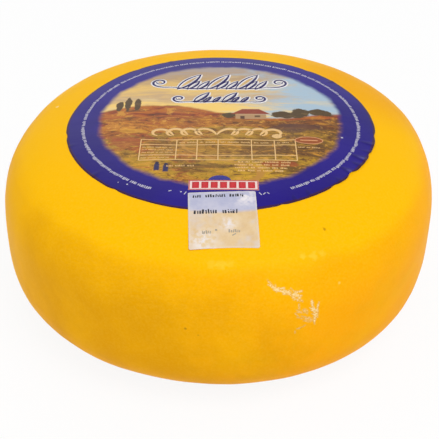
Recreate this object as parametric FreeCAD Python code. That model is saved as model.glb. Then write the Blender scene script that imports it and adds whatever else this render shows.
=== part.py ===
import FreeCAD, Part
import math
import os

# A whole Gouda cheese wheel in a waxy yellow coating. A round paper label lies on its
# top, and a small square sticker covers the label's front edge and runs down onto the
# rounded shoulder.
#
# Millimetres, +Z up. The origin is the middle of the flat foot that the wheel rests on.
# -Y is the front, where the sticker is.

# The wheel
WHEEL_RADIUS = 120.0
WHEEL_HEIGHT = 97.3
GIRTH_HEIGHT = 44.0  # height of the level where the wheel is widest
FOOT_RADIUS = 60.0  # flat part of the underside
TOP_SQUARENESS = 4.05  # 2 is an elliptical shoulder, larger is flatter on top
FOOT_SQUARENESS = 2.8

# A pressed cheese is never quite round: lobes around it, share of the radius by which
# they stand out, and the direction of the first lobe in degrees from +X.
LOBES = (
    (2, 0.030, 85.0),
    (3, 0.003, 75.0),
    (4, 0.010, 41.0),
)
# Rise of the top towards +X and +Y, as a share of the height for each millimetre.
TOP_RISE_X = 0.014 / WHEEL_RADIUS
TOP_RISE_Y = -0.003 / WHEEL_RADIUS

# The round label
LABEL_RADIUS = 80.9
LABEL_SHIFT_Y = -2.6
LABEL_THICKNESS = 0.3

# The square sticker, seen from above
STICKER_WIDTH = 31.6
STICKER_LENGTH = 33.4
STICKER_CENTRE_X = 1.6
STICKER_CENTRE_Y = -87.1
STICKER_TURN = 2.6  # degrees
STICKER_CORNER_RADIUS = 1.0
STICKER_THICKNESS = 0.2

# How finely the wheel's skin is set out
POINTS_PER_RING = 32
UPPER_RING_ANGLES = (0, 12, 24, 34, 43, 52, 61, 70, 78)
LOWER_RING_ANGLES = (90, 76, 62, 50, 38, 26, 13)

CUTTER_HEIGHT = 2 * WHEEL_HEIGHT  # taller than everything that it cuts


def squared_arc(degrees, squareness):
    """Point at an angle on a rounded square of half width 1, as (outward, upward)."""
    outward = abs(math.cos(math.radians(degrees)))
    upward = abs(math.sin(math.radians(degrees)))
    length = (outward ** squareness + upward ** squareness) ** (1 / squareness)
    return outward / length, upward / length


def profile_levels():
    """Mean radius and height of each ring of the wheel, from the foot to the top."""
    levels = []
    for degrees in LOWER_RING_ANGLES:
        outward, downward = squared_arc(degrees, FOOT_SQUARENESS)
        radius = FOOT_RADIUS + (WHEEL_RADIUS - FOOT_RADIUS) * outward
        levels.append((radius, GIRTH_HEIGHT * (1 - downward)))
    for degrees in UPPER_RING_ANGLES:
        outward, upward = squared_arc(degrees, TOP_SQUARENESS)
        height = GIRTH_HEIGHT + (WHEEL_HEIGHT - GIRTH_HEIGHT) * upward
        levels.append((WHEEL_RADIUS * outward, height))
    return levels


def out_of_round(turn):
    """Radius in a direction, as a multiple of the mean radius."""
    factor = 1.0
    for count, share, first_lobe in LOBES:
        factor += share * math.cos(count * (turn - math.radians(first_lobe)))
    return factor


def ring_wire(radius, height):
    """One closed, slightly uneven and slightly sloping ring round the wheel."""
    points = []
    for index in range(POINTS_PER_RING):
        turn = 2 * math.pi * index / POINTS_PER_RING
        x = radius * out_of_round(turn) * math.cos(turn)
        y = radius * out_of_round(turn) * math.sin(turn)
        z = height * (1 + TOP_RISE_X * x + TOP_RISE_Y * y)
        points.append(FreeCAD.Vector(x, y, z))
    evenly_spaced = list(range(POINTS_PER_RING + 1))
    curve = Part.BSplineCurve()
    curve.interpolate(Points=points, Parameters=evenly_spaced, PeriodicFlag=True)
    return Part.Wire(curve.toShape())


def raised(solid, height):
    """A copy of a solid, moved straight up."""
    copy = solid.copy()
    copy.translate(FreeCAD.Vector(0, 0, height))
    return copy


def make_wheel():
    """The cheese itself, solid all through, skinned over its rings."""
    rings = [ring_wire(radius, height) for radius, height in profile_levels()]
    return Part.makeLoft(rings, True, False)


def make_label(wheel):
    """A round sheet of even thickness that follows the wheel's top."""
    disc = Part.makeCylinder(LABEL_RADIUS, CUTTER_HEIGHT, FreeCAD.Vector(0, LABEL_SHIFT_Y, GIRTH_HEIGHT))
    return disc.common(raised(wheel, LABEL_THICKNESS)).cut(wheel)


def sticker_cutter():
    """An upright prism with the sticker's outline seen from above."""
    corner = FreeCAD.Vector(-STICKER_WIDTH / 2, -STICKER_LENGTH / 2, 0)
    prism = Part.makeBox(STICKER_WIDTH, STICKER_LENGTH, CUTTER_HEIGHT, corner)
    upright_edges = [edge for edge in prism.Edges if edge.Length > CUTTER_HEIGHT - 1]
    prism = prism.makeFillet(STICKER_CORNER_RADIUS, upright_edges)
    prism.rotate(FreeCAD.Vector(0, 0, 0), FreeCAD.Vector(0, 0, 1), STICKER_TURN)
    prism.translate(FreeCAD.Vector(STICKER_CENTRE_X, STICKER_CENTRE_Y, GIRTH_HEIGHT))
    return prism


def make_sticker(wheel, label):
    """A thin square sheet over the label's front edge and the shoulder below it."""
    outside = raised(wheel, LABEL_THICKNESS + STICKER_THICKNESS)
    return sticker_cutter().common(outside).cut(wheel).cut(label)


def one_solid(shape, name):
    """The single solid that a shape holds, or an error."""
    if len(shape.Solids) != 1:
        raise ValueError(f"{name} has {len(shape.Solids)} solids")
    solid = shape.Solids[0]
    if not solid.isValid():
        raise ValueError(f"{name} is not valid")
    return solid


def main():
    wheel = one_solid(make_wheel(), "cheese_wheel")
    label = one_solid(make_label(wheel), "round_label")
    sticker = one_solid(make_sticker(wheel, label), "date_sticker")
    parts = {
        "cheese_wheel": wheel,
        "round_label": label,
        "date_sticker": sticker,
    }
    os.makedirs("parts", exist_ok=True)
    for name, solid in parts.items():
        solid.exportStep(f"parts/{name}.step")
        box = solid.BoundBox
        print(
            f"{name}: {solid.Volume / 1000:.2f} cm3, {len(solid.Faces)} faces, "
            f"{box.XLength:.2f} x {box.YLength:.2f} x {box.ZLength:.2f} mm, "
            f"z {box.ZMin:.2f} to {box.ZMax:.2f}"
        )


main()
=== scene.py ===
"""A whole Gouda cheese wheel in a waxy yellow coating, with a printed round label and a sticker.

Laid out as a Blender add-on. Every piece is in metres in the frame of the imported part:
+Z is up, -Y is the front, and the wheel rests on its flat foot at the origin.
"""

import math
import random
from contextlib import contextmanager

import bpy
from bpy.props import FloatProperty, FloatVectorProperty, IntProperty, PointerProperty
from mathutils import Matrix, Vector


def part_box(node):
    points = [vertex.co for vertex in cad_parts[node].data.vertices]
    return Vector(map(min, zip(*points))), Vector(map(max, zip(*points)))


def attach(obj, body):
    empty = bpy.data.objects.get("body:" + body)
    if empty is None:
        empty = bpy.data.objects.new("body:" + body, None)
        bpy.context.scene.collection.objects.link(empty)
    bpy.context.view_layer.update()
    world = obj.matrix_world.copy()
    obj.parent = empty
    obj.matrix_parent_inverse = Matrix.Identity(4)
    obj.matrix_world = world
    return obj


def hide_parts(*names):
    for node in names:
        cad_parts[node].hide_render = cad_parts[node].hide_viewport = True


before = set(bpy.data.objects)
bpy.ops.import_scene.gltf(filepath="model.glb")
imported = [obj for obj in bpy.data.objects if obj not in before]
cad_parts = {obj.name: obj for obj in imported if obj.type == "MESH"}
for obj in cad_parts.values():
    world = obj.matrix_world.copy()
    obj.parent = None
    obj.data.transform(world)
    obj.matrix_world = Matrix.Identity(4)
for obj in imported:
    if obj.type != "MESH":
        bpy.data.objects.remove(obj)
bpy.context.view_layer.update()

bl_info = {
    "name": "Whole Gouda Cheese Wheel",
    "version": (1, 0, 0),
    "blender": (4, 5, 0),
    "location": "View3D > Sidebar > Cheese",
    "description": "A whole coated Gouda wheel with a printed round label and a square sticker",
    "category": "Add Mesh",
}

MM = 0.001

WHEEL_LOW, WHEEL_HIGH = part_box("cheese_wheel")
LABEL_LOW, LABEL_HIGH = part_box("round_label")
STICKER_LOW, STICKER_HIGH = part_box("date_sticker")

WHEEL_RADIUS = (WHEEL_HIGH.x - WHEEL_LOW.x + WHEEL_HIGH.y - WHEEL_LOW.y) / 4
WHEEL_HEIGHT = WHEEL_HIGH.z
LABEL_RADIUS = (LABEL_HIGH.x - LABEL_LOW.x) / 2
LABEL_CENTRE = Vector(((LABEL_LOW.x + LABEL_HIGH.x) / 2, (LABEL_LOW.y + LABEL_HIGH.y) / 2, 0))
STICKER_CENTRE = (STICKER_LOW + STICKER_HIGH) / 2
ABOVE_ALL = WHEEL_HEIGHT + 20 * MM  # flat prints are drawn here, then laid down


def tint(code):
    """A colour written as on a paint chart, #RRGGBB, in the linear values that Blender uses."""
    channels = [int(code[index:index + 2], 16) / 255 for index in (1, 3, 5)]
    return tuple(c / 12.92 if c <= 0.04045 else ((c + 0.055) / 1.055) ** 2.4 for c in channels)


def colour_property(name, description, code):
    return FloatVectorProperty(
        name=name, description=description, subtype="COLOR", min=0, max=1, default=tint(code)
    )


def length_property(name, description, default):
    return FloatProperty(name=name, description=description, unit="LENGTH", default=default)


def angle_property(name, description, degrees):
    return FloatProperty(name=name, description=description, subtype="ANGLE", default=math.radians(degrees))


# ---- settings


class WheelSettings(bpy.types.PropertyGroup):
    steps_around: IntProperty(name="Steps around", description="Faces round the wheel", default=360)
    girth: length_property("Girth height", "Height of the widest level", 44 * MM)
    foot: length_property("Foot radius", "Radius of the flat underside", 60 * MM)
    dent_depth: length_property("Dent depth", "Depth of the broad hollows", 1.1 * MM)
    ripple_depth: length_property("Ripple depth", "Depth of the small unevenness", 0.28 * MM)
    seam_height: length_property("Seam height", "Height of the press seam at the shoulder", 0.35 * MM)
    # Painted light: the top colour is laid where the coating faces up, so the top is painted brighter than
    # the sides.
    top_colour: colour_property("Top", "Coating where it faces up", "#FFBF00")
    side_colour: colour_property("Side", "Coating on the left side", "#F6B300")
    warm_colour: colour_property("Warm side", "Coating on the right side", "#FFAC00")
    # Painted shade: this colour darkens the coating low on the front left and on the lower sides.
    painted_shade_colour: colour_property("Dull patches", "Coating where it is thick", "#E4A000")
    scuff_colour: colour_property("Scuffs", "Rubbed, whitened coating", "#FFE2A4")


class LabelSettings(bpy.types.PropertyGroup):
    steps_around: IntProperty(name="Steps around", description="Faces round the label", default=480)
    thickness: length_property("Thickness", "Height of the label's face over the cheese", 0.2 * MM)
    crease_height: length_property("Crease height", "Height of the creases", 0.45 * MM)
    picture_radius: length_property("Picture radius", "Where the picture fades out", 63.4 * MM)
    band_colour: colour_property("Band", "Blue band round the picture", "#210F80")
    sky_colour: colour_property("Sky", "Open sky", "#A8BFD0")


class StickerSettings(bpy.types.PropertyGroup):
    width: length_property("Width", "Side to side", 31.6 * MM)
    length: length_property("Length", "Top to bottom, seen from above", 33.4 * MM)
    turn: angle_property("Turn", "Turn seen from above", 2.6)
    paper_colour: colour_property("Paper", "Paper over the cheese", "#E6CBA0")
    over_label_colour: colour_property("Over label", "Paper where the blue shows through", "#C6C5D6")


class StageSettings(bpy.types.PropertyGroup):
    distance: length_property("Distance", "From the aim point to the camera", 516 * MM)
    aim_height: length_property("Aim height", "Height of the aim point over the floor", 48 * MM)
    elevation: angle_property("Elevation", "Camera above level", 33.57)
    dip: angle_property("Dip", "Camera tipped down past its aim", 1.55)
    roll: angle_property("Roll", "Camera turned about its line of sight", 0.75)
    lens: FloatProperty(name="Lens", description="Focal length in millimetres", default=75.6)


# ---- modelling helpers


def deselect_all():
    if bpy.context.object and bpy.context.object.mode != "OBJECT":
        bpy.ops.object.mode_set(mode="OBJECT")
    bpy.ops.object.select_all(action="DESELECT")


def make_active(piece):
    deselect_all()
    piece.select_set(True)
    bpy.context.view_layer.objects.active = piece


@contextmanager
def editing(piece, wanted=None):
    """Edit mode on one piece: all of it is selected, or the faces whose middle passes a test."""
    make_active(piece)
    if wanted:
        for parts in (piece.data.edges, piece.data.vertices):
            parts.foreach_set("select", [False] * len(parts))
        for face in piece.data.polygons:
            face.select = wanted(face.center)
    bpy.ops.object.mode_set(mode="EDIT")
    bpy.ops.mesh.select_mode(type="VERT")
    if not wanted:
        bpy.ops.mesh.select_all(action="SELECT")
    yield
    bpy.ops.object.mode_set(mode="OBJECT")


def just_added(name):
    """The object that the last operator added, under its own name."""
    piece = bpy.context.object
    piece.name = name
    return piece


def settle(piece):
    """Takes a piece's place, turn and size up into its mesh."""
    make_active(piece)
    bpy.ops.object.transform_apply(location=True, rotation=True, scale=True)


def finish_with(piece, kind, **settings):
    """Adds one modifier to a piece and applies it."""
    modifier = piece.modifiers.new(kind.title(), kind)
    for name, value in settings.items():
        setattr(modifier, name, value)
    make_active(piece)
    bpy.ops.object.modifier_apply(modifier=modifier.name)


def weigh(piece, name, weight, for_material=False):
    """A vertex group whose weight at each point comes from a formula of its place."""
    group = piece.vertex_groups.new(name=name)
    weights = [min(weight(vertex.co), 1.0) for vertex in piece.data.vertices]
    for index, value in enumerate(weights):
        if value > 0.001:
            group.add([index], value, "REPLACE")
    if for_material:
        attribute = piece.data.attributes.new(name + "_mark", "FLOAT", "POINT")
        attribute.data.foreach_set("value", weights)
    return name


def relief(piece, height, group, size=None, middle=0.5, direction="NORMAL"):
    """Raises a weighted area evenly, or by a cloud of bumps of one size.

    The middle is the value in the cloud, from 0 to 1, at which the surface stays put."""
    settings = {"strength": height, "mid_level": 0.0, "direction": direction, "vertex_group": group}
    if size:
        cloud = bpy.data.textures.new(f"{piece.name}_{group}", "CLOUDS")
        cloud.noise_scale = size
        cloud.noise_depth = 1
        settings.update(texture=cloud, texture_coords="LOCAL", mid_level=middle)
    finish_with(piece, "DISPLACE", **settings)


def lathe(name, outline, steps):
    """A round piece: an outline of (radius, height) points spun round the upright axis."""
    deselect_all()
    bpy.ops.mesh.primitive_plane_add(size=1 * MM)
    piece = just_added(name)
    with editing(piece):
        bpy.ops.mesh.merge(type="CENTER")
        bpy.ops.transform.translate(value=(outline[0][0], 0, outline[0][1]))
        for start, end in zip(outline, outline[1:]):
            step = (end[0] - start[0], 0, end[1] - start[1])
            bpy.ops.mesh.extrude_vertices_move(TRANSFORM_OT_translate={"value": step})
        bpy.ops.mesh.select_all(action="SELECT")
        bpy.ops.mesh.spin(steps=steps, angle=math.tau, center=(0, 0, 0), axis=(0, 0, 1))
        bpy.ops.mesh.select_all(action="SELECT")
        bpy.ops.mesh.remove_doubles(threshold=0.001 * MM)
        bpy.ops.mesh.normals_make_consistent(inside=False)
    return piece


def flat_sheet(name, middle, size, steps, turn=0.0):
    """A flat oblong of even faces, drawn high above its place."""
    deselect_all()
    bpy.ops.mesh.primitive_grid_add(
        x_subdivisions=steps[0], y_subdivisions=steps[1], size=1,
        location=(*middle, ABOVE_ALL), rotation=(0, 0, turn),
    )
    sheet = just_added(name)
    sheet.scale = (*size, 1)
    settle(sheet)
    return sheet


def lay_down(piece, ground, lift):
    """Drops a flat piece straight down until it lies on another, a little above it."""
    finish_with(
        piece, "SHRINKWRAP", target=ground, wrap_method="PROJECT", wrap_mode="ABOVE_SURFACE",
        use_project_z=True, use_negative_direction=True, use_positive_direction=False, offset=lift,
    )


def thicken(piece, thickness):
    """Gives a sheet its thickness, downwards from the face that shows."""
    finish_with(piece, "SOLIDIFY", thickness=thickness, offset=-1, use_even_offset=True)


def complete(piece, slot, material, *stands_for):
    """Gives a finished piece its material and hands it to the frame."""
    settle(piece)
    bpy.ops.object.shade_smooth()
    piece.data.materials.clear()
    piece.data.materials.append(material)
    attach(piece, "root")
    if stands_for:
        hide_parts(*stands_for)
    return piece


def smooth_step(value, low, high):
    share = min(max((value - low) / (high - low), 0.0), 1.0)
    return share * share * (3 - 2 * share)


def bell(distance, width):
    return math.exp(-(distance / width) ** 2)


def on_label(place):
    """Where a point lies from the label's centre, as (radius, direction in degrees)."""
    x, y = place.x - LABEL_CENTRE.x, place.y - LABEL_CENTRE.y
    return math.hypot(x, y), math.degrees(math.atan2(y, x))


# ---- material helpers


class Nodes:
    """The nodes of one material or world, made and joined as formulas.

    A value is a socket, a number, a vector, a colour, a colour's code or None."""

    def __init__(self, owner):
        owner.use_nodes = True
        self.tree = owner.node_tree

    def plug(self, socket, value):
        if isinstance(value, bpy.types.NodeSocket):
            self.tree.links.new(value, socket)
        elif socket.type == "RGBA":
            socket.default_value = (*(tint(value) if isinstance(value, str) else value), 1)
        elif value is not None:
            socket.default_value = value

    def fill(self, node, inputs):
        """Plugs values into a node's inputs, which are given by name or number."""
        for key, value in dict(inputs).items():
            self.plug(node.inputs[key], value)
        return node

    def node(self, kind, inputs=(), **settings):
        made = self.tree.nodes.new(kind)
        for name, value in settings.items():
            setattr(made, name, value)
        return self.fill(made, inputs)

    def math(self, operation, *values):
        return self.node("ShaderNodeMath", enumerate(values), operation=operation).outputs[0]

    def times(self, first, second):
        return self.math("MULTIPLY", first, second)

    def minus(self, first, second):
        return self.math("SUBTRACT", first, second)

    def times_plus(self, first, second, third):
        return self.math("MULTIPLY_ADD", first, second, third)


class Look(Nodes):
    """One material of a piece, written as formulas of the place on it."""

    def __init__(self, name, colour, shine=0.12):
        self.material = bpy.data.materials.new(name)
        super().__init__(self.material)
        self.shader = self.tree.nodes["Principled BSDF"]
        self.plug(self.shader.inputs["Specular IOR Level"], shine)
        self.place = self.node("ShaderNodeTexCoord").outputs["Object"]
        self.colour = colour

    def vector(self, operation, *values):
        made = self.node("ShaderNodeVectorMath", enumerate(values), operation=operation)
        return made.outputs["Value" if operation in ("LENGTH", "DISTANCE") else "Vector"]

    def axes(self, vector):
        return self.node("ShaderNodeSeparateXYZ", {0: vector}).outputs

    def mark(self, name):
        """How strongly the mesh is marked by a named weight."""
        return self.node("ShaderNodeAttribute", attribute_name=name + "_mark").outputs["Fac"]

    def rise(self, value, low, high):
        """0 below one value and 1 above another, with a soft change between them."""
        inputs = enumerate((value, low, high))
        return self.node("ShaderNodeMapRange", inputs, interpolation_type="SMOOTHSTEP").outputs[0]

    def over(self, share, below, above):
        """One colour laid over another by a share from 0 to 1."""
        return self.node("ShaderNodeMix", {0: share, 6: below, 7: above}, data_type="RGBA").outputs[2]

    def coat(self, colour, share, strength=1.0):
        """Lays a colour over the one that is there, by a share from 0 to 1."""
        if strength != 1.0:
            share = self.times(share, strength)
        self.colour = self.over(share, self.colour, colour)

    def noise(self, scale, detail=2.0, stretch=(1, 1, 1), place=None, roughness=0.5, swirl=0.0):
        vector = self.vector("MULTIPLY", place or self.place, stretch)
        inputs = {"Vector": vector, "Scale": scale, "Detail": detail, "Roughness": roughness}
        return self.node("ShaderNodeTexNoise", {**inputs, "Distortion": swirl}).outputs[0]

    def chart(self, value, *stops):
        """Colours at places from 0 to 1 along a value."""
        made = self.node("ShaderNodeValToRGB", {0: value})
        ramp = made.color_ramp
        while len(ramp.elements) < len(stops):
            ramp.elements.new(0.5)
        for element, (position, code) in zip(ramp.elements, stops):
            element.position = position
            element.color = (*tint(code), 1)
        return made.outputs[0]

    def skyline(self, across, heights):
        """A soft line: heights at even steps from left, -1, to right, 1."""
        made = self.node("ShaderNodeFloatCurve", {"Value": self.times_plus(across, 0.5, 0.5)})
        points = made.mapping.curves[0].points
        while len(points) < len(heights):
            points.new(0.5, 0.5)
        for index, height in enumerate(heights):
            points[index].location = (index / (len(heights) - 1), (height + 1) / 2)
        made.mapping.update()
        return self.times_plus(made.outputs[0], 2.0, -1.0)

    def bump(self, height, distance, strength, below=None):
        inputs = {"Height": height, "Distance": distance, "Strength": strength, "Normal": below}
        return self.node("ShaderNodeBump", inputs).outputs[0]

    def wear(self, roughness, normal=None):
        """Puts the finished colour, roughness and normal on the surface."""
        self.fill(self.shader, {"Base Color": self.colour, "Roughness": roughness, "Normal": normal})
        return self.material


def from_label(look):
    """The place on a piece, measured from the label's centre."""
    return look.vector("SUBTRACT", look.place, LABEL_CENTRE)


def label_radius(look):
    """Distance from the label's centre, seen from above."""
    return look.vector("LENGTH", look.vector("MULTIPLY", from_label(look), (1, 1, 0)))


# ---- the coated wheel

TOP_SQUARENESS = 4.05
FOOT_SQUARENESS = 2.8
UPPER_STEPS = 84
LOWER_STEPS = 56
FOOT_STEPS = 12

# Rubbed paths on the front: start and end as (distance round from the front middle,
# height), number of scratches, how far they stray, and how strong they are. Millimetres.
SCUFF_PATHS = (
    ((22.4, 77.4), (28.0, 74.4), 12, 0.35, 0.75),
    ((27.5, 74.6), (37.4, 70.6), 16, 0.6, 0.8),
    ((30.5, 73.0), (36.6, 68.0), 9, 0.45, 0.6),
    ((41.8, 67.0), (43.4, 60.8), 9, 0.22, 0.95),
    ((43.2, 61.6), (43.6, 55.6), 12, 0.3, 1.0),
    ((44.6, 65.0), (44.6, 58.4), 7, 0.3, 0.7),
    ((37.4, 64.6), (40.5, 61.4), 7, 1.0, 0.45),
    ((36.0, 61.2), (41.0, 57.8), 9, 1.2, 0.45),
    ((38.6, 58.8), (42.5, 55.4), 8, 0.8, 0.55),
    ((34.0, 51.6), (37.5, 53.6), 3, 0.6, 0.3),
)
SCUFF_LOW = Vector((19, 46)) * MM
SCUFF_HIGH = Vector((50, 82)) * MM
SCUFF_CUTS = 4
SCUFF_DEPTH = 0.5 * MM
FLAKE_SIZE = 1.1 * MM
DENT_SIZE = 55 * MM
RIPPLE_SIZE = 14 * MM

# Where painted shade darkens the coating, low on the front left, and where the coating is warmest.
PAINTED_SHADE_PLACE = Vector((-0.4, -0.9, 0.2)) * WHEEL_RADIUS
WARM_PLACE = Vector((95, 60, 80)) * MM

# Small spots on the coating: place, radius, strength and colour. Millimetres.
SPOTS = (
    ((47.8, -90.0, 90.2), 1.0, 0.7, "#94650C"),
    ((-14.8, -121.0, 56.0), 0.8, 0.7, "#A87412"),
    ((-9.0, -121.7, 52.5), 0.6, 0.6, "#B98418"),
    ((-21.0, -118.4, 47.0), 0.6, 0.5, "#B98418"),
    ((54.4, -107.1, 72.2), 0.7, 0.55, "#FFDC70"),
    ((-91.2, 24.8, 89.2), 0.9, 0.8, "#FFE9B0"),
    # The next six pale yellow smears along the front shoulder are painted highlight on the press seam.
    ((37.4, -104.0, 84.6), 1.3, 0.26, "#FFE35A"),
    ((42.0, -103.2, 84.3), 1.8, 0.26, "#FFE35A"),
    ((46.2, -101.0, 83.9), 1.5, 0.2, "#FFE35A"),
    ((-3.0, -110.8, 84.4), 1.8, 0.16, "#FFE35A"),
    ((1.0, -110.7, 84.6), 2.0, 0.2, "#FFE35A"),
    ((5.0, -110.6, 84.8), 1.6, 0.14, "#FFE35A"),
    ((16.0, -74.0, 95.5), 1.2, 0.5, "#FFE39A"),
    ((-60.0, 105.6, 61.0), 0.9, 0.7, "#A87412"),
    ((88.0, 83.9, 47.0), 0.8, 0.7, "#FFE39A"),
)


def squared_arc(degrees, squareness):
    """Point at an angle on a rounded square of half width 1, as (outward, upward)."""
    outward = abs(math.cos(math.radians(degrees)))
    upward = abs(math.sin(math.radians(degrees)))
    length = (outward ** squareness + upward ** squareness) ** (1 / squareness)
    return outward / length, upward / length


def wheel_outline(settings):
    """Half section of the wheel, from the middle of the foot to the middle of the top."""
    foot, girth = settings.foot, settings.girth
    outline = [(foot * step / FOOT_STEPS, 0.0) for step in range(FOOT_STEPS)]
    for step in range(LOWER_STEPS):
        outward, downward = squared_arc(90 - 90 * step / LOWER_STEPS, FOOT_SQUARENESS)
        outline.append((foot + (WHEEL_RADIUS - foot) * outward, girth * (1 - downward)))
    for step in range(UPPER_STEPS):
        outward, upward = squared_arc(90 * step / UPPER_STEPS, TOP_SQUARENESS)
        outline.append((WHEEL_RADIUS * outward, girth + (WHEEL_HEIGHT - girth) * upward))
    outline.append((0.0, WHEEL_HEIGHT))
    return outline


def on_front(place):
    """Where a point of the side lies, as (distance round from the front middle, height)."""
    return Vector((math.atan2(place.x, -place.y) * WHEEL_RADIUS, place.z))


def scratches():
    """Short fine scratches along the rubbed paths, as (start, end, half width, strength)."""
    chance = random.Random(7)
    found = []
    for start, end, count, stray, strength in SCUFF_PATHS:
        start, end = Vector(start) * MM, Vector(end) * MM
        for index in range(count):
            middle = start.lerp(end, (index + chance.random()) / count)
            middle += Vector((chance.gauss(0, stray), chance.gauss(0, stray))) * MM
            half = (end - start).normalized() * chance.uniform(0.5, 1.9) * MM
            half.rotate(Matrix.Rotation(chance.gauss(0, 0.45), 2))
            width = chance.uniform(0.18, 0.4) * MM
            found.append((middle - half, middle + half, width, strength * chance.uniform(0.5, 1.0)))
    return found


def in_scuff(place):
    around, height = on_front(place)
    return SCUFF_LOW.x < around < SCUFF_HIGH.x and SCUFF_LOW.y < height < SCUFF_HIGH.y


def distance_to(point, start, end):
    """Distance in the plane from a point to a straight scratch."""
    line = end - start
    share = min(max((point - start).dot(line) / line.length_squared, 0.0), 1.0)
    return (point - start - line * share).length


def scuff_weight():
    """The formula for how rubbed the coating is at a place."""
    marks = scratches()

    def weight(place):
        if not in_scuff(place):
            return 0.0
        point = on_front(place)
        return max(depth * bell(distance_to(point, start, end), width) for start, end, width, depth in marks)

    return weight


def open_coating(place):
    """1 on the open coating, 0 under the label and on the flat foot."""
    clear_of_label = smooth_step(on_label(place)[0], LABEL_RADIUS - 12 * MM, LABEL_RADIUS + 10 * MM)
    return clear_of_label * smooth_step(place.z, 0.5 * MM, 12 * MM)


def press_seam(place):
    """A faint ring at the shoulder where the press lid met the mould, clearest at the front."""
    ring = bell(math.hypot(place.x, place.y) - WHEEL_RADIUS * 0.925, 1.6 * MM)
    front = 0.35 + 0.65 * smooth_step(-place.y / WHEEL_RADIUS, 0.2, 0.9)
    return ring * front * smooth_step(place.z, WHEEL_HEIGHT * 0.6, WHEEL_HEIGHT * 0.8)


def coating_look(settings):
    look = Look("yellow_cheese_coating", settings.side_colour, 0.02)
    across, _, height = look.axes(look.place)
    # Painted light: the top colour is laid over the upper side and the shoulder, so the coating is painted
    # brighter where it faces up.
    broad = look.rise(look.times_plus(look.noise(16, 3), 20 * MM, height), 62 * MM, 100 * MM)
    shoulder = look.rise(look.times_plus(look.noise(30, 2), 6 * MM, height), 82 * MM, 89 * MM)
    painted_top_light = look.times_plus(look.minus(shoulder, broad), 0.65, broad)
    warm = look.rise(look.times_plus(look.noise(14, 3), 40 * MM, across), -30 * MM, 70 * MM)
    look.coat(settings.warm_colour, warm)
    look.coat(settings.top_colour, painted_top_light)

    far_right = look.rise(look.vector("DISTANCE", look.place, WARM_PLACE), 75 * MM, 25 * MM)
    look.coat("#F0A200", far_right, 0.7)
    # Painted shade: the coating is painted darker in patches towards the lower front left, away from the top.
    painted_shade = look.vector("DISTANCE", look.place, PAINTED_SHADE_PLACE)
    painted_shade = look.rise(painted_shade, WHEEL_RADIUS * 0.85, WHEEL_RADIUS * 0.2)
    patches = look.rise(look.times_plus(painted_shade, 0.35, look.noise(22, 4, roughness=0.6)), 0.45, 0.95)
    look.coat(settings.painted_shade_colour, look.times(patches, look.minus(1.0, painted_top_light)))
    pale = look.rise(look.noise(11, 5, roughness=0.62, swirl=0.5), 0.5, 0.68)
    look.coat(settings.top_colour, pale, 0.35)
    look.coat("#FFD95A", look.rise(look.noise(900, 3), 0.3, 0.8), 0.1)

    ragged = look.minus(look.noise(500, 3), 0.5)
    for place, radius, strength, code in SPOTS:
        away = look.vector("DISTANCE", look.place, Vector(place) * MM)
        away = look.times_plus(ragged, radius * 2.5 * MM, away)
        look.coat(code, look.rise(away, radius * 1.5 * MM, radius * 0.4 * MM), strength)

    rubbed = look.mark("scuff")
    # Painted shade: darker olive at the faint edges of the scratches.
    look.coat("#B5800A", look.rise(rubbed, 0.02, 0.15), 0.32)
    flaky = look.times(rubbed, look.rise(look.noise(1100, 3, roughness=0.7), 0.3, 0.62))
    look.coat(settings.scuff_colour, look.math("MINIMUM", look.times(flaky, 1.7), 0.95))

    gloss = look.times_plus(rubbed, 0.25, look.times_plus(look.noise(60, 4), 0.16, 0.36))
    dimples = look.bump(look.noise(420, 3), 0.12 * MM, 0.5)
    cloth = look.bump(look.noise(160, 4, stretch=(1, 1, 2.5)), 0.25 * MM, 0.35, dimples)
    return look.wear(gloss, cloth)


def build_wheel(settings):
    wheel = lathe("coated_wheel", wheel_outline(settings), settings.steps_around)
    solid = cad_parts["cheese_wheel"]
    finish_with(wheel, "SHRINKWRAP", target=solid, wrap_method="NEAREST_SURFACEPOINT")
    finish_with(wheel, "SMOOTH", factor=0.5, iterations=8, vertex_group=weigh(wheel, "open", open_coating))
    with editing(wheel, in_scuff):
        bpy.ops.mesh.subdivide(number_cuts=SCUFF_CUTS, smoothness=1.0)

    wheel.vertex_groups.clear()
    group = weigh(wheel, "open", open_coating)
    relief(wheel, settings.dent_depth, group, DENT_SIZE, middle=0.76)
    relief(wheel, settings.ripple_depth, group, RIPPLE_SIZE, middle=0.75)
    relief(wheel, settings.seam_height, weigh(wheel, "seam", press_seam))
    relief(wheel, SCUFF_DEPTH, weigh(wheel, "scuff", scuff_weight(), for_material=True), FLAKE_SIZE)
    return complete(wheel, "coating", coating_look(settings), "cheese_wheel")


# ---- the round label

BAND_RINGS = 34
PICTURE_RINGS = 22
RIM_WAVE_HEIGHT = 0.9 * MM
RIM_WAVE_SIZE = 12 * MM
EDGE_LIFT = 0.3 * MM

# Creases that run in from the label's edge: direction in degrees, length, half width,
# height as a share of the crease height. Millimetres.
CREASES = (
    (-15.0, 10.0, 0.9, 0.8),
    (-21.0, 7.0, 0.7, 0.6),
    (-26.5, 13.0, 1.0, 1.0),
    (-31.0, 8.0, 0.8, 0.7),
    (-37.0, 11.0, 1.0, 1.0),
    (-44.0, 6.0, 0.8, 0.6),
    (-58.0, 9.0, 0.7, 0.5),
    (-64.0, 7.0, 0.6, 0.6),
    (-140.0, 8.0, 0.8, 0.5),
    (-163.0, 6.0, 0.8, 0.4),
    (38.0, 8.0, 0.9, 0.5),
    (112.0, 7.0, 0.8, 0.5),
)
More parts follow.
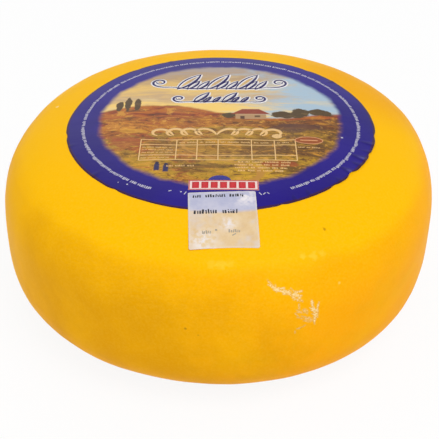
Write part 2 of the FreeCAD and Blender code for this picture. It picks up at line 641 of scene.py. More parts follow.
# Places where the edge is folded or nicked: direction in degrees, depth, reach. Millimetres.
NICKS = (
    (-37.6, 1.5, 3.2),
    (-22.0, 0.7, 2.0),
    (-47.5, 0.7, 2.4),
    (-8.0, 0.6, 3.0),
    (-69.0, 0.5, 1.6),
    (-128.0, 0.5, 2.2),
    (-171.0, 0.6, 2.6),
    (52.0, 0.6, 2.4),
    (127.0, 0.5, 2.4),
)


def label_outline():
    """Rings of the flat label, wide apart under the picture and close together on the band."""
    inner = LABEL_RADIUS * 0.72
    outline = [(inner * ring / PICTURE_RINGS, ABOVE_ALL) for ring in range(PICTURE_RINGS)]
    for ring in range(BAND_RINGS + 1):
        outline.append((inner + (LABEL_RADIUS - inner) * ring / BAND_RINGS, ABOVE_ALL))
    return outline


def crease_weight(place):
    """How high the paper stands at a place because of its creases."""
    radius, direction = on_label(place)
    total = 0.0
    for degrees, length, width, share in CREASES:
        off_line = math.radians(math.remainder(direction - degrees, 360)) * radius
        reach = smooth_step(radius, LABEL_RADIUS - length * MM, LABEL_RADIUS)
        total += share * reach * bell(off_line, width * (0.6 + reach) * MM)
    return total


def near_edge(reach, side, spread, elsewhere=0.0):
    """The formula for how near a place is to the label's edge, strongest on one side of it.

    The reach is in millimetres, the side and its spread are in degrees."""

    def weight(place):
        radius, direction = on_label(place)
        strength = elsewhere + (1 - elsewhere) * bell(direction - side, spread)
        return strength * smooth_step(radius, LABEL_RADIUS - reach * MM, LABEL_RADIUS)

    return weight


# The painted landscape. Places, sizes and heights are in radii of the picture.
SKY = (
    (0.0, "#F4CA62"), (0.22, "#F2CC74"), (0.38, "#C4A47C"),
    (0.55, "#E8C06C"), (0.75, "#B6966E"), (0.95, "#A89A94"),
)
HILLS = ((0.34, "#5A2E14"), (0.46, "#98441A"), (0.55, "#B86A20"), (0.66, "#703E1A"))
HILL_LINE = (0.14, 0.22, 0.24, 0.16, 0.06, 0.02, 0.06, 0.12)
SUNNY_LINE = (0.1, 0.16, 0.19, 0.11, 0.03, -0.02, 0.02, 0.06)
# Poplars and bushes: middle and half size.
TREES = (
    ((-0.86, 0.22), (0.03, 0.1)),
    ((-0.79, 0.26), (0.028, 0.13)),
    ((-0.71, 0.25), (0.03, 0.1)),
    ((0.52, 0.09), (0.1, 0.06)),
    ((0.66, 0.11), (0.08, 0.08)),
    ((0.84, 0.12), (0.1, 0.06)),
    ((0.06, 0.07), (0.07, 0.05)),
)
# Walls, roof, door and window of the farm: left, right, low, high, lean of the sides, colour.
FARM = (
    (0.12, 0.38, 0.0, 0.085, 0.0, "#B08A62"),
    (0.08, 0.42, 0.085, 0.175, 1.1, "#8C3A26"),
    (0.16, 0.2, 0.0, 0.055, 0.0, "#553520"),
    (0.28, 0.33, 0.03, 0.065, 0.0, "#5E4228"),
)
# Fields from the ridge down: the top line from left to right, and two soil colours.
FIELDS = (
    ((0.0, 0.03, 0.05, 0.04, 0.0, -0.02, 0.0, 0.03), "#AE6C1C", "#7C441A"),
    ((-0.04, -0.02, -0.06, -0.12, -0.16, -0.2, -0.16), "#BC7420", "#924C1A"),
    ((-0.3, -0.26, -0.18, -0.12, -0.14, -0.16, -0.14), "#AE8428", "#86601C"),
    ((-0.34, -0.38, -0.36, -0.4, -0.46, -0.42, -0.38), "#B0842A", "#7C5418"),
    ((-0.66, -0.6, -0.58, -0.62, -0.56, -0.6, -0.62), "#C89A24", "#8E6A1E"),
)
TRACK_BENDS = (0.12, 0.3, -0.1, -0.3, 0.0, 0.24)
# Bare and shaded patches: middle, half size, strength, colour.
PATCHES = (
    ((0.6, -0.14), (0.24, 0.07), 0.75, "#54342A"),
    ((0.3, -0.36), (0.2, 0.05), 0.5, "#5C3A20"),
    ((-0.72, -0.2), (0.13, 0.035), 0.55, "#D29A30"),
    ((-0.76, -0.36), (0.12, 0.09), 0.6, "#A4502A"),
    ((0.46, -0.7), (0.14, 0.045), 0.75, "#9A4624"),
    ((-0.1, -0.74), (0.22, 0.03), 0.6, "#4A2E14"),
)
# Milk churns: left side and foot.
CHURNS = ((-0.51, -0.79), (-0.44, -0.81))


def farmland(look, settings):
    """A generic painted landscape: wide sky, low hills, a farm, fields and a cart track."""
    canvas = look.vector("MULTIPLY", from_label(look), [1 / settings.picture_radius] * 3)
    across, up, _ = look.axes(canvas)

    def brush(scale, detail, length, roughness, swirl=0.0):
        """Uneven brush marks, so many times as long as they are tall."""
        return look.noise(scale, detail, (1, length, 1), canvas, roughness, swirl)

    ragged = look.minus(brush(9, 5, 1, 0.65), 0.5)
    strokes = brush(3, 6, 3.6, 0.68, 0.6)
    dabs = brush(13, 5, 1.9, 0.72, 0.8)

    def below(heights, rough, soft=0.02):
        """Share of the ground under a skyline with a ragged edge."""
        line = look.times_plus(ragged, rough, look.skyline(across, heights))
        return look.rise(look.minus(line, up), -soft, soft)

    def patch(middle, half_size, rough):
        """Share of a rounded patch with a ragged edge."""
        away = look.vector("SUBTRACT", canvas, (*middle, 0))
        away = look.vector("MULTIPLY", away, (1 / half_size[0], 1 / half_size[1], 0))
        away = look.times_plus(ragged, rough * 2, look.vector("LENGTH", away))
        return look.rise(away, 1.12, 0.88)

    def block(left, right, low, high, lean=0.0):
        """Share of an upright block whose sides lean in by a slope."""
        height = look.minus(up, low)
        inset = look.times(height, lean)
        from_left = look.minus(look.minus(across, left), inset)
        from_right = look.minus(look.minus(right, across), inset)
        sides = look.math("MINIMUM", from_left, from_right)
        ends = look.math("MINIMUM", height, look.minus(high, up))
        return look.rise(look.math("MINIMUM", sides, ends), -0.004, 0.008)

    uneven = look.minus(strokes, 0.5)
    look.colour = look.chart(look.times_plus(uneven, 0.5, up), *SKY)
    look.coat(settings.sky_colour, look.rise(look.times_plus(uneven, 1.8, across), 0.05, 0.8))
    look.coat("#E2CC98", look.rise(brush(2.4, 6, 3.4, 0.6), 0.5, 0.7), 0.5)
    look.coat(look.chart(strokes, *HILLS), below(HILL_LINE, 0.05))
    look.coat("#C88A2C", look.times(below(SUNNY_LINE, 0.1, 0.03), look.rise(ragged, 0.02, 0.1)))
    for middle, half_size in TREES:
        look.coat("#4E3A1E", patch(middle, half_size, 0.9))
    for *sides, code in FARM:
        look.coat(code, block(*sides))

    wide = brush(2.2, 4, 1.8, 0.6, 0.5)
    for heights, light, dark in FIELDS:
        look.coat(look.chart(wide, (0.36, dark), (0.64, light)), below(heights, 0.07, 0.015))
    ground = below(FIELDS[0][0], 0.05)
    broad = brush(5.5, 6, 3, 0.7, 1.0)
    for code, strength, marks in (
        ("#9C4620", 0.9, look.times(look.rise(strokes, 0.5, 0.6), look.rise(across, 0.2, -0.5))),
        ("#4C2E1C", 0.7, look.times(look.rise(strokes, 0.53, 0.46), look.rise(across, 0.0, 0.7))),
        ("#D08E30", 0.6, look.rise(strokes, 0.42, 0.34)),
        ("#5E3012", 0.65, look.rise(broad, 0.55, 0.61)),
        ("#D6962E", 0.55, look.rise(broad, 0.45, 0.4)),
        ("#DCA23A", 0.6, look.rise(dabs, 0.56, 0.63)),
        ("#472812", 0.6, look.rise(dabs, 0.45, 0.39)),
    ):
        look.coat(code, look.times(marks, ground), strength)

    bend = look.skyline(look.times_plus(up, 2.0, 1.0), TRACK_BENDS)
    off_track = look.math("ABSOLUTE", look.minus(across, bend))
    half_width = look.times_plus(up, -0.05, 0.004)
    track = look.rise(look.times_plus(ragged, 0.08, off_track), half_width, look.times(half_width, 0.4))
    look.coat("#B88436", look.times(track, below([-0.03] * 4, 0.02)))
    for middle, half_size, strength, code in PATCHES:
        look.coat(code, patch(middle, half_size, 0.8), strength)
    for left, foot in CHURNS:
        look.coat("#2C2856", block(left, left + 0.045, foot, foot + 0.09))
        look.coat("#23203F", patch((left + 0.023, foot + 0.1), (0.016, 0.018), 0.1))
    look.coat("#D8A85C", look.rise(dabs, 0.5, 0.7), 0.1)
    return look.colour


def label_look(settings):
    look = Look("printed_label_paper", settings.band_colour, 0.11)
    look.coat("#1B0B70", look.rise(look.noise(26, 3), 0.35, 0.7))
    fine = look.noise(260, 5, stretch=(1, 2.2, 1), roughness=0.75)
    look.coat("#564EA2", look.rise(fine, 0.62, 0.8), 0.3)
    band = look.colour
    picture = farmland(look, settings)
    radius, picture_edge = label_radius(look), settings.picture_radius
    faded = look.times_plus(look.noise(90, 3), 5 * MM, radius)
    look.colour = look.over(look.rise(faded, picture_edge + 4.6 * MM, picture_edge + 0.4 * MM), band, picture)

    crease = look.mark("crease")
    # Painted shade round the creases, and painted highlight along their tops.
    look.coat("#150A50", look.rise(crease, 0.04, 0.25), 0.4)
    look.coat("#6A66B4", look.rise(crease, 0.5, 0.85), 0.4)
    # A dark red-brown line round the label's edge: the paper's cut edge, with painted shade under it.
    uneven = look.times_plus(look.noise(180, 3), 1.6 * MM, radius)
    look.coat("#3E1A26", look.rise(uneven, LABEL_RADIUS - 0.7 * MM, LABEL_RADIUS + 0.1 * MM), 0.8)

    paper = look.bump(look.noise(700, 3), 0.03 * MM, 0.5)
    cockle = look.bump(look.noise(55, 3, stretch=(1, 1.6, 1)), 0.5 * MM, 0.3, paper)
    return look.wear(look.times_plus(look.noise(40, 3), 0.14, 0.3), cockle)


def build_label(settings, wheel):
    label = lathe("printed_label", label_outline(), settings.steps_around)
    with editing(label):
        bpy.ops.transform.translate(value=LABEL_CENTRE)
    for index, (degrees, depth, reach) in enumerate(NICKS):
        heading = math.radians(degrees)
        outward = Vector((math.cos(heading), math.sin(heading), 0))
        spot = LABEL_CENTRE + outward * LABEL_RADIUS + Vector((0, 0, ABOVE_ALL))
        near = weigh(label, f"nick_{index}", lambda place: bell((place - spot).length, reach * MM))
        for axis, share in zip("XY", outward):
            relief(label, -depth * MM * share, near, direction=axis)
    rim = weigh(label, "rim", near_edge(3, -35, 45, elsewhere=0.3))
    for axis in "XY":
        relief(label, RIM_WAVE_HEIGHT, rim, RIM_WAVE_SIZE, direction=axis)
    lay_down(label, wheel, settings.thickness)
    relief(label, settings.crease_height, weigh(label, "crease", crease_weight, for_material=True))
    relief(label, EDGE_LIFT, weigh(label, "lift", near_edge(6, -28, 24)))
    thicken(label, 1.6 * settings.thickness)
    return complete(label, "label_paper", label_look(settings), "round_label")


# ---- print on the label

# Small print round the band: millimetres, and degrees from its start round to its end.
RING_PRINT_RADIUS = 72.2
RING_PRINT_HEIGHT = 1.9
RING_PRINT_START = 243.0
RING_PRINT_END = -62.0

# The ruled table under the farm: millimetres from the wheel's middle.
TABLE_LEFT, TABLE_RIGHT = -40.2, 37.8
TABLE_TOP, TABLE_BOTTOM = -24.0, -43.6
TABLE_COLUMNS = (-22.1, -11.7, -1.2, 15.6, 27.2)
TABLE_LINE = 0.55

OVAL_MIDDLE = (44.8, -24.3)
PLATE_CENTRE = (1.7, -65.1)
PLATE_SIZE = (33.2, 7.5)

# Heights of the inks over their paper, and how thick they are. Millimetres.
LOW_INK, MIDDLE_INK, HIGH_INK = 0.04, 0.1, 0.16
INK_THICKNESS = 0.05
INKS = {
    "white_ink": "#F4F0F0",
    "pale_ink": "#CCC8D8",
    "pink_white_ink": "#EBD3CC",
    "cream_ink": "#EDC284",
    "peach_ink": "#DFA070",
    "rust_ink": "#A0562E",
    "red_ink": "#CC343A",
    "blue_ink": "#3A3A90",
    "navy_ink": "#241C5C",
    "black_stamp_ink": "#34343A",
    "faint_stamp_ink": "#AFA595",
}


def ink_look(name):
    """Printing ink, a little broken by the paper under it."""
    if name in bpy.data.materials:
        return bpy.data.materials[name]
    look = Look(name, INKS[name])
    darker = [channel * 0.8 for channel in tint(INKS[name])]
    look.coat(darker, look.rise(look.noise(1300, 3), 0.45, 0.8), 0.5)
    return look.wear(look.times_plus(look.noise(300, 2), 0.12, 0.36))


def bar(x, y, length, width, turn=0.0):
    """A straight stroke about its middle, as (x, y, width) points. Millimetres."""
    steps = max(2, round(length / 0.9))
    ends = [length * (step / steps - 0.5) for step in range(steps + 1)]
    return [(x + math.cos(turn) * along, y + math.sin(turn) * along, width) for along in ends]


def sweep(start, heading, length, bend, end_bend, width):
    """A pen stroke whose bend changes evenly along it, swelling in the middle."""
    x, y = start
    steps = round(length * 2.5)
    points = []
    for step in range(steps + 1):
        share = step / steps
        points.append((x, y, width * (0.35 + 0.65 * math.sin(math.pi * share))))
        heading += (bend + (end_bend - bend) * share) * length / steps
        x += math.cos(heading) * length / steps
        y += math.sin(heading) * length / steps
    return points


def leaf(foot, heading, length, bend, width):
    """An almond-shaped loop of two bent strokes from one foot to one tip, the second heavier."""
    half_turn = bend * length / 2
    return [
        sweep(foot, heading + half_turn, length, -bend, -bend, width * 0.6),
        sweep(foot, heading - half_turn, length, bend, bend, width),
    ]


def vine(x, y, half, leaves, tall, curl):
    """A level vine: slanting leaves of two heights on a waved stem that curls up at both ends."""
    strokes = []
    for side in (-1, 1):
        heading = math.pi / 2 - side * (math.pi / 2 + 0.12)
        strokes.append(sweep((x, y), heading, half, side * 0.01, side * 0.012, 1.1))
        tip = strokes[-1][-1][:2]
        strokes.append(sweep(tip, heading, curl * 2.6, side * 0.02, side * 6.2 / curl, 1.3))
    step = 1.8 * half / leaves
    for index in range(leaves):
        foot = (x - 0.97 * half + step * (index + 0.5), y - tall * 0.06)
        length = tall * (1.0 if index % 3 == 0 else 0.55)
        strokes += leaf(foot, 0.95, length, 0.95 / length, 1.7 if index % 3 == 0 else 1.5)
    return strokes


def running_scroll(middle, level, step, count):
    """A traditional running scroll: curls of one size that roll outward from the middle."""
    strokes = []
    for side in (-1, 1):
        for index in range(count):
            start = (middle + side * step * index, level)
            heading = math.pi / 2 - side * (math.pi / 2 - 1.2)
            strokes.append(sweep(start, heading, step * 2.7, -side * 0.03, -side * 0.4, 2.1))
    return strokes


def ticks(left, right, level, height, chance):
    """A line of uneven upright ticks in groups, in place of small print."""
    strokes = []
    x = left
    while x < right:
        for _ in range(chance.randint(3, 9)):
            tall, thick = height * chance.uniform(0.65, 1.0), height * chance.uniform(0.2, 0.4)
            lean = math.pi / 2 + chance.uniform(-0.15, 0.15)
            strokes.append(bar(x, level - (height - tall) / 2, tall, thick, lean))
            x += thick + height * 0.2
        x += height * 0.8
    return strokes


def placed(strokes, x, y, turn):
    """Strokes turned about the wheel's middle, then moved."""
    cos, sin = math.cos(turn), math.sin(turn)
    return [
        [(x + across * cos - up * sin, y + across * sin + up * cos, width) for across, up, width in stroke]
        for stroke in strokes
    ]


def ring_print(chance):
    """Groups of ticks set round the band, reading outward."""
    strokes = []
    degrees = RING_PRINT_START
    while degrees > RING_PRINT_END:
        group = ticks(0, 0.1, 0, RING_PRINT_HEIGHT, chance)
        x = LABEL_CENTRE.x / MM + RING_PRINT_RADIUS * math.cos(math.radians(degrees))
        y = LABEL_CENTRE.y / MM + RING_PRINT_RADIUS * math.sin(math.radians(degrees))
        strokes += placed(group, x, y, math.radians(degrees - 90))
        degrees -= math.degrees((group[-1][0][0] + chance.uniform(1.0, 2.0)) / RING_PRINT_RADIUS)
    return strokes


def table(chance):
    """Frame, columns and cell entries of the ruled table."""
    middle_x, middle_y = (TABLE_LEFT + TABLE_RIGHT) / 2, (TABLE_TOP + TABLE_BOTTOM) / 2
    wide, tall = TABLE_RIGHT - TABLE_LEFT, TABLE_TOP - TABLE_BOTTOM
    levels = (TABLE_TOP, TABLE_TOP - 5, TABLE_BOTTOM + 4.5, TABLE_BOTTOM)
    strokes = [bar(middle_x, level, wide, TABLE_LINE) for level in levels]
    for x in (TABLE_LEFT, *TABLE_COLUMNS, TABLE_RIGHT):
        strokes.append(bar(x, middle_y, tall, TABLE_LINE, math.pi / 2))
    for row in range(5):
        strokes += ticks(TABLE_LEFT + 1.2, TABLE_COLUMNS[0] - 2.5, TABLE_TOP - 7.6 - 2.5 * row, 0.9, chance)
    for left, right in zip(TABLE_COLUMNS, (*TABLE_COLUMNS[1:], TABLE_RIGHT)):
        strokes += ticks(left + 1.5, right - 2.5, TABLE_TOP - 2.6, 1.2, chance)
    return strokes


def oval(x, y, half_width, half_height, width, steps=48):
    """A closed thin oval as one even stroke."""
    turns = [math.tau * step / steps for step in range(steps + 1)]
    return [(x + half_width * math.cos(turn), y + half_height * math.sin(turn), width) for turn in turns]


def filled_oval(x, y, half_width, half_height, pitch=0.25):
    """An oval filled with level bars that touch."""
    bars = []
    count = int(half_height / pitch)
    for level in (pitch * step for step in range(-count, count + 1)):
        length = 2 * half_width * math.sqrt(1 - (level / half_height) ** 2) + 0.05
        bars.append(bar(x, y + level, length, pitch * 1.3))
    return bars


def print_down(piece, base, ink, lift, slot="label_paper"):
    """Lays flat ink on its paper, so many millimetres above it."""
    lay_down(piece, base, lift * MM)
    thicken(piece, INK_THICKNESS * MM)
    return complete(piece, slot, ink_look(ink))


def print_on(base, name, strokes, ink, lift=LOW_INK, slot="label_paper"):
    """Flat ribbons along strokes of (x, y, width) points in millimetres, laid on their paper."""
    deselect_all()
    bpy.ops.curve.primitive_nurbs_path_add()
    piece = just_added(name)
    curve = piece.data
    curve.splines.clear()
    for stroke in strokes:
        spline = curve.splines.new("POLY")
        spline.points.add(len(stroke) - 1)
        for point, (x, y, width) in zip(spline.points, stroke):
            point.co = (x * MM, y * MM, ABOVE_ALL, 1)
            point.radius = width
            point.tilt = math.pi / 2
    curve.twist_mode = "Z_UP"
    curve.extrude = MM / 2
    bpy.ops.object.convert(target="MESH")
    return print_down(piece, base, ink, lift, slot)


def print_vines(label):
    """Two navy vines with a white edge, and a cream scroll under them."""
    vines = vine(-1, 33.5, half=27, leaves=9, tall=23, curl=12)
    vines += vine(-1, 17, half=17, leaves=6, tall=15, curl=9)
    edges = [[(x, y, width + 1.7) for x, y, width in stroke] for stroke in vines]
    print_on(label, "vine_white_edge", edges, "white_ink")
    print_on(label, "vine_navy", vines, "navy_ink", MIDDLE_INK)
    print_on(label, "cream_scroll", running_scroll(-2, -19.5, 7.4, 4), "cream_ink")


def print_ovals(label):
    """The ringed oval beside the table, the spot on its corner and the arch over the plate."""
    print_on(label, "oval_ground", filled_oval(*OVAL_MIDDLE, 7.0, 3.2), "rust_ink")
    rings = [oval(*OVAL_MIDDLE, 7.0, 3.3, 0.5), bar(*OVAL_MIDDLE, 9, 0.9)]
    print_on(label, "oval_rings", rings, "peach_ink", MIDDLE_INK)
    print_on(label, "cream_spot", filled_oval(28.8, -20, 2.6, 2.1), "cream_ink", MIDDLE_INK)
    print_on(label, "arch_over_plate", filled_oval(-0.2, -62.4, 5.6, 5.0), "blue_ink")


# Loose marks on the band: x, y, length, width and turn.
LOOSE_MARKS = (
    (-23.4, -69.1, 1.6, 0.5, 0.3),
    (-18.2, -70.0, 0.8, 0.7, 0.3),
    (-16.2, -71.0, 2.2, 0.5, 1.1),
    (18.9, -71.2, 2.2, 0.5, 2.2),
    (20.8, -71.0, 1.8, 0.5, 0.9),
    (22.6, -70.6, 1.4, 0.5, 2.4),
    (62.1, -19.6, 1.1, 1.1, 0),
    (-44.0, -63.0, 0.8, 0.8, 0),
    (-48.5, -61.0, 0.5, 0.5, 0),
)


def print_small(label):
    """The ruled table and all the rows of ticks."""
    chance = random.Random(3)
    print_on(label, "ruled_table", table(chance), "cream_ink")
    small = []
    for row in range(4):
        small += ticks(7 + chance.uniform(0, 2), 31, -45.5 - 2.5 * row, 1.4, chance)
    small += ticks(-26, -14, -49, 1.4, chance) + ticks(39, 49, -31, 1.1, chance)
    print_on(label, "small_print", small, "cream_ink")
    print_on(label, "ring_print", ring_print(chance), "pale_ink")
    print_on(label, "loose_marks", [bar(*mark) for mark in LOOSE_MARKS], "pale_ink")


def print_plate(label):
    """A pale plate with a thin red frame and a row of red blocks."""
    x, y = PLATE_CENTRE
    wide, tall = PLATE_SIZE
    ground = flat_sheet("plate_ground", (x * MM, y * MM), (wide * MM, tall * MM), (round(wide), round(tall)))
    print_down(ground, label, "pink_white_ink", MIDDLE_INK)
    red = [bar(x, y + side * (tall / 2 - 0.35), wide - 0.4, 0.45) for side in (-1, 1)]
    red += [bar(x + side * (wide / 2 - 0.35), y, tall - 0.5, 0.45, math.pi / 2) for side in (-1, 1)]
    red += [bar(x + 4.4 * step, y, 4.8, 3.3, math.pi / 2) for step in range(-3, 4)]
    print_on(label, "plate_red", red, "red_ink", HIGH_INK)


# ---- the square sticker

STICKER_STEPS = (84, 88)
STICKER_LIFT = 0.14 * MM
STICKER_THICKNESS = 0.12 * MM
STEP_ON_LABEL = 0.24 * MM
CRUMPLE_HEIGHT = 0.8 * MM
CRUMPLE_SIZE = 2.4 * MM
RIM_LIFT = 0.06 * MM
CORNER_LIFT = 0.4 * MM
CORNER_CLIP = 0.4 * MM
# Crumpled patches: place on the sticker from its middle, reach. Millimetres.
CRUMPLES = (
    ((-9.5, -13.0), 5.5),
    ((11.0, 12.5), 5.0),
    ((2.0, -4.0), 3.5),
)


def on_sticker(settings, place):
    """Where a point lies on the sticker, from its middle, along its own sides."""
    offset = Vector((place.x - STICKER_CENTRE.x, place.y - STICKER_CENTRE.y))
    offset.rotate(Matrix.Rotation(-settings.turn, 2))
    return offset


def over_label(place):
    """1 where the sticker lies on the label, 0 where it lies on the cheese."""
    return smooth_step(LABEL_RADIUS + 0.7 * MM - on_label(place)[0], 0, 1.2 * MM)


def sticker_look(settings):
    look = Look("thin_sticker_paper", settings.paper_colour, 0.16)
    blotchy = look.rise(look.noise(110, 4, roughness=0.6), 0.35, 0.7)
    look.coat("#DDBC8C", blotchy)
    look.coat("#DBCDC4", look.rise(look.noise(75, 4, roughness=0.6), 0.5, 0.66), 0.7)
    label_side = look.over(blotchy, settings.over_label_colour, "#B2B4CE")
    wavy = look.times_plus(look.noise(120, 3), 1.4 * MM, label_radius(look))
    look.coat(label_side, look.rise(wavy, LABEL_RADIUS + 2.4 * MM, LABEL_RADIUS + 0.2 * MM))
    # Painted highlight: whiter facets on the crumpled patches.
    crumpled = look.times(look.mark("crumple"), look.rise(look.noise(400, 3), 0.35, 0.6))
    look.coat("#EEE7E8", crumpled, 0.95)
    # Painted highlight: a paler line along the sticker's rim.
    look.coat("#E9DDD0", look.mark("rim"), 0.5)
    fibres = look.bump(look.noise(800, 3), 0.04 * MM, 0.6)
    creases = look.bump(look.noise(190, 4), 0.4 * MM, 0.35, fibres)
    return look.wear(look.times_plus(blotchy, 0.1, 0.45), creases)


def build_sticker(settings, wheel):
    size = Vector((settings.width, settings.length))
    sticker = flat_sheet("square_sticker", STICKER_CENTRE.xy, size, STICKER_STEPS, settings.turn)
    clip_corners(sticker, size / 2, settings.turn)
    lay_down(sticker, wheel, STICKER_LIFT)
    relief(sticker, STEP_ON_LABEL, weigh(sticker, "over_label", over_label))

    def crumple(place):
        spot = on_sticker(settings, place)
        return sum(bell((spot - Vector(middle) * MM).length, reach * MM) for middle, reach in CRUMPLES)

    def rim(place):
        spot = on_sticker(settings, place)
        inside = min(size.x / 2 - abs(spot.x), size.y / 2 - abs(spot.y))
        return 1 - smooth_step(inside, 0.1 * MM, 1.1 * MM)

    def loose_corner(place):
        return bell((on_sticker(settings, place) + size / 2).length, 5 * MM)

    crumpled = weigh(sticker, "crumple", crumple, for_material=True)
    relief(sticker, CRUMPLE_HEIGHT, crumpled, CRUMPLE_SIZE, middle=0.35)
    relief(sticker, RIM_LIFT, weigh(sticker, "rim", rim, for_material=True))
    relief(sticker, CORNER_LIFT, weigh(sticker, "loose_corner", loose_corner))
    thicken(sticker, STICKER_THICKNESS)
    return complete(sticker, "sticker_paper", sticker_look(settings), "date_sticker")


def clip_corners(sticker, half, angle):
    """Takes the points off the flat sticker's corners."""
    turn = Matrix.Rotation(angle, 2)
    for right, up in ((1, 1), (1, -1), (-1, -1), (-1, 1)):
        outward = turn @ Vector((right, up)).normalized()
        corner = STICKER_CENTRE.xy + turn @ Vector((half.x * right, half.y * up))
        cut = (*(corner - outward * CORNER_CLIP), ABOVE_ALL)
        with editing(sticker):
            bpy.ops.mesh.bisect(plane_co=cut, plane_no=(*outward, 0), clear_outer=True, threshold=0.001 * MM)


def print_sticker(settings, sticker):
    """Groups of dark ticks in two rows, and a faint stamp under them."""
    chance = random.Random(8)
    spot = (STICKER_CENTRE.x / MM, STICKER_CENTRE.y / MM, settings.turn)
    dark = ticks(-13.2, 9, 14.0, 2.2, chance) + ticks(-12.8, 1.8, 3.7, 2.6, chance)
    faint = ticks(-9.5, -7, -8.6, 1.8, chance) + ticks(2.5, 5, -8.2, 1.8, chance)
    faint += [bar(-3.4, -7.6, 0.9, 0.9), bar(4.6, -10.2, 1.9, 0.5, 0.5)]
    print_on(sticker, "sticker_dark_marks", placed(dark, *spot), "black_stamp_ink", slot="sticker_paper")
    print_on(sticker, "sticker_faint_marks", placed(faint, *spot), "faint_stamp_ink", slot="sticker_paper")


# ---- floor, light and camera

FLOOR_GAP = 0.2 * MM  # keeps the flat foot and the floor from sharing one plane
MIDDLE = Vector((0, 0, 50)) * MM  # where the lamps point
# Lamps: name, place and size in metres, power in watts.
LAMPS = (
    ("key_lamp", (0.5, -0.75, 1.5), 1.0, 13),
    ("back_lamp", (-0.3, 1.3, 1.0), 0.9, 2.5),
    ("fill_lamp", (-1.3, -0.9, 0.5), 1.0, 3),
)


def add_lamp(name, place, size, power):
    bpy.ops.object.light_add(type="AREA", location=place)
    lamp = just_added(name)
    lamp.data.size = size
    lamp.data.energy = power
    lamp.rotation_euler = (MIDDLE - lamp.location).to_track_quat("-Z", "Y").to_euler()


def white_to_camera(nodes, surface, glow, end, share):
    """Mixes a share of plain white into what the camera and mirrors see of a surface."""
    rays = nodes.node("ShaderNodeLightPath").outputs
    seen = nodes.math("MAXIMUM", rays["Is Camera Ray"], rays["Is Glossy Ray"])
    seen = nodes.math("MAXIMUM", seen, rays["Is Transmission Ray"])
    inputs = enumerate((nodes.times(seen, share), surface, glow))
    nodes.plug(nodes.tree.nodes[end].inputs["Surface"], nodes.node("ShaderNodeMixShader", inputs).outputs[0])


def build_floor():
    deselect_all()
    bpy.ops.mesh.primitive_plane_add(size=16, location=(0, 0, -FLOOR_GAP))
    floor = just_added("studio_floor")
    material = bpy.data.materials.new("white_floor")
    nodes = Nodes(material)
    surface = nodes.tree.nodes["Principled BSDF"]
    nodes.fill(surface, {"Base Color": [0.95] * 3, "Roughness": 0.9, "Specular IOR Level": 0.0})
    glow = nodes.node("ShaderNodeEmission")
    white_to_camera(nodes, surface.outputs[0], glow.outputs[0], "Material Output", 0.9)
    floor.data.materials.append(material)


def build_world():
    world = bpy.data.worlds.new("soft_studio")
    bpy.context.scene.world = world
    nodes = Nodes(world)
    light = nodes.tree.nodes["Background"]
    nodes.fill(light, {"Color": (1, 1, 1), "Strength": 0.57})
    white = nodes.node("ShaderNodeBackground", {"Color": (1, 1, 1)})
    white_to_camera(nodes, light.outputs[0], white.outputs[0], "World Output", 1.0)


def build_camera(settings):
    target = Vector((0, 0, settings.aim_height))
    away = Vector((0, -math.cos(settings.elevation), math.sin(settings.elevation)))
    bpy.ops.object.camera_add(location=target + away * settings.distance)
    camera = just_added("studio_camera")
    camera.data.lens = settings.lens
    camera.data.clip_start = 0.01
    level = Matrix.Rotation(math.pi / 2 - settings.elevation - settings.dip, 4, "X")
    camera.rotation_euler = (level @ Matrix.Rotation(settings.roll, 4, "Z")).to_euler()
    bpy.context.scene.camera = camera


def build_stage(settings):
    build_floor()
    build_world()
    for lamp in LAMPS:
        add_lamp(*lamp)
    build_camera(settings)
    bpy.context.scene.view_settings.view_transform = "Standard"


# ---- operators and panel


def piece_named(name):
    if name not in bpy.data.objects:
        raise RuntimeError(f"make {name} first")
    return bpy.data.objects[name]


class CHEESE_OT_stage(bpy.types.Operator):
    """Sets up the floor, the lamps and the camera"""
    bl_idname = "cheese.stage"
    bl_label = "Stage"

    def execute(self, context):
        build_stage(context.scene.cheese_stage)
        return {"FINISHED"}


class CHEESE_OT_wheel(bpy.types.Operator):
    """Makes the coated wheel with its dents, seam and scuffs"""
    bl_idname = "cheese.wheel"
    bl_label = "Coated wheel"

    def execute(self, context):
        build_wheel(context.scene.cheese_wheel)
        return {"FINISHED"}


class CHEESE_OT_label(bpy.types.Operator):
    """Makes the round paper label with its band, picture and creases"""
    bl_idname = "cheese.label"
    bl_label = "Round label"

    def execute(self, context):
        build_label(context.scene.cheese_label, piece_named("coated_wheel"))
        return {"FINISHED"}


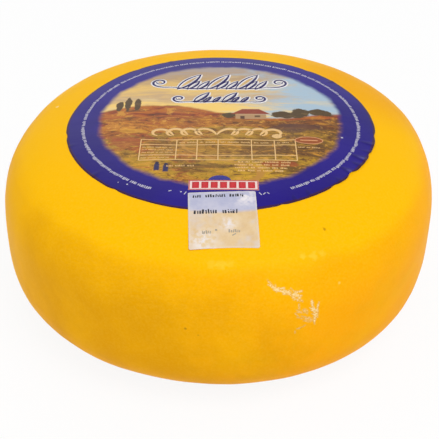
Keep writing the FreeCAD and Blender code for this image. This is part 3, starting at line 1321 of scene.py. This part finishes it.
class CHEESE_OT_label_print(bpy.types.Operator):
    """Makes the vines, the scroll, the table and the rest of the print on the label"""
    bl_idname = "cheese.label_print"
    bl_label = "Print on the label"

    def execute(self, context):
        label = piece_named("printed_label")
        for put_down in (print_vines, print_ovals, print_small, print_plate):
            put_down(label)
        return {"FINISHED"}


class CHEESE_OT_sticker(bpy.types.Operator):
    """Makes the square sticker over the label's front edge, with its faint stamp"""
    bl_idname = "cheese.sticker"
    bl_label = "Square sticker"

    def execute(self, context):
        settings = context.scene.cheese_sticker
        print_sticker(settings, build_sticker(settings, piece_named("coated_wheel")))
        return {"FINISHED"}


OPERATORS = (CHEESE_OT_stage, CHEESE_OT_wheel, CHEESE_OT_label, CHEESE_OT_label_print, CHEESE_OT_sticker)


class CHEESE_PT_panel(bpy.types.Panel):
    """Lists the pieces of the cheese in the order in which they are made"""
    bl_idname = "CHEESE_PT_panel"
    bl_label = "Cheese wheel"
    bl_space_type = "VIEW_3D"
    bl_region_type = "UI"
    bl_category = "Cheese"

    def draw(self, context):
        for operator in OPERATORS:
            self.layout.operator(operator.bl_idname)
        for name in SETTINGS:
            box = self.layout.box()
            group = getattr(context.scene, name)
            for field in group.bl_rna.properties:
                if field.identifier not in {"name", "rna_type"}:
                    box.prop(group, field.identifier)


SETTINGS = {
    "cheese_wheel": WheelSettings,
    "cheese_label": LabelSettings,
    "cheese_sticker": StickerSettings,
    "cheese_stage": StageSettings,
}


def register():
    for kind in (*SETTINGS.values(), *OPERATORS, CHEESE_PT_panel):
        bpy.utils.register_class(kind)
    for name, kind in SETTINGS.items():
        setattr(bpy.types.Scene, name, PointerProperty(type=kind))


def unregister():
    for name in SETTINGS:
        delattr(bpy.types.Scene, name)
    for kind in reversed((*SETTINGS.values(), *OPERATORS, CHEESE_PT_panel)):
        bpy.utils.unregister_class(kind)


def main():
    register()
    bpy.ops.cheese.stage()
    bpy.ops.cheese.wheel()
    bpy.ops.cheese.label()
    bpy.ops.cheese.label_print()
    bpy.ops.cheese.sticker()
    bpy.context.view_layer.update()


if __name__ == "__main__":
    main()
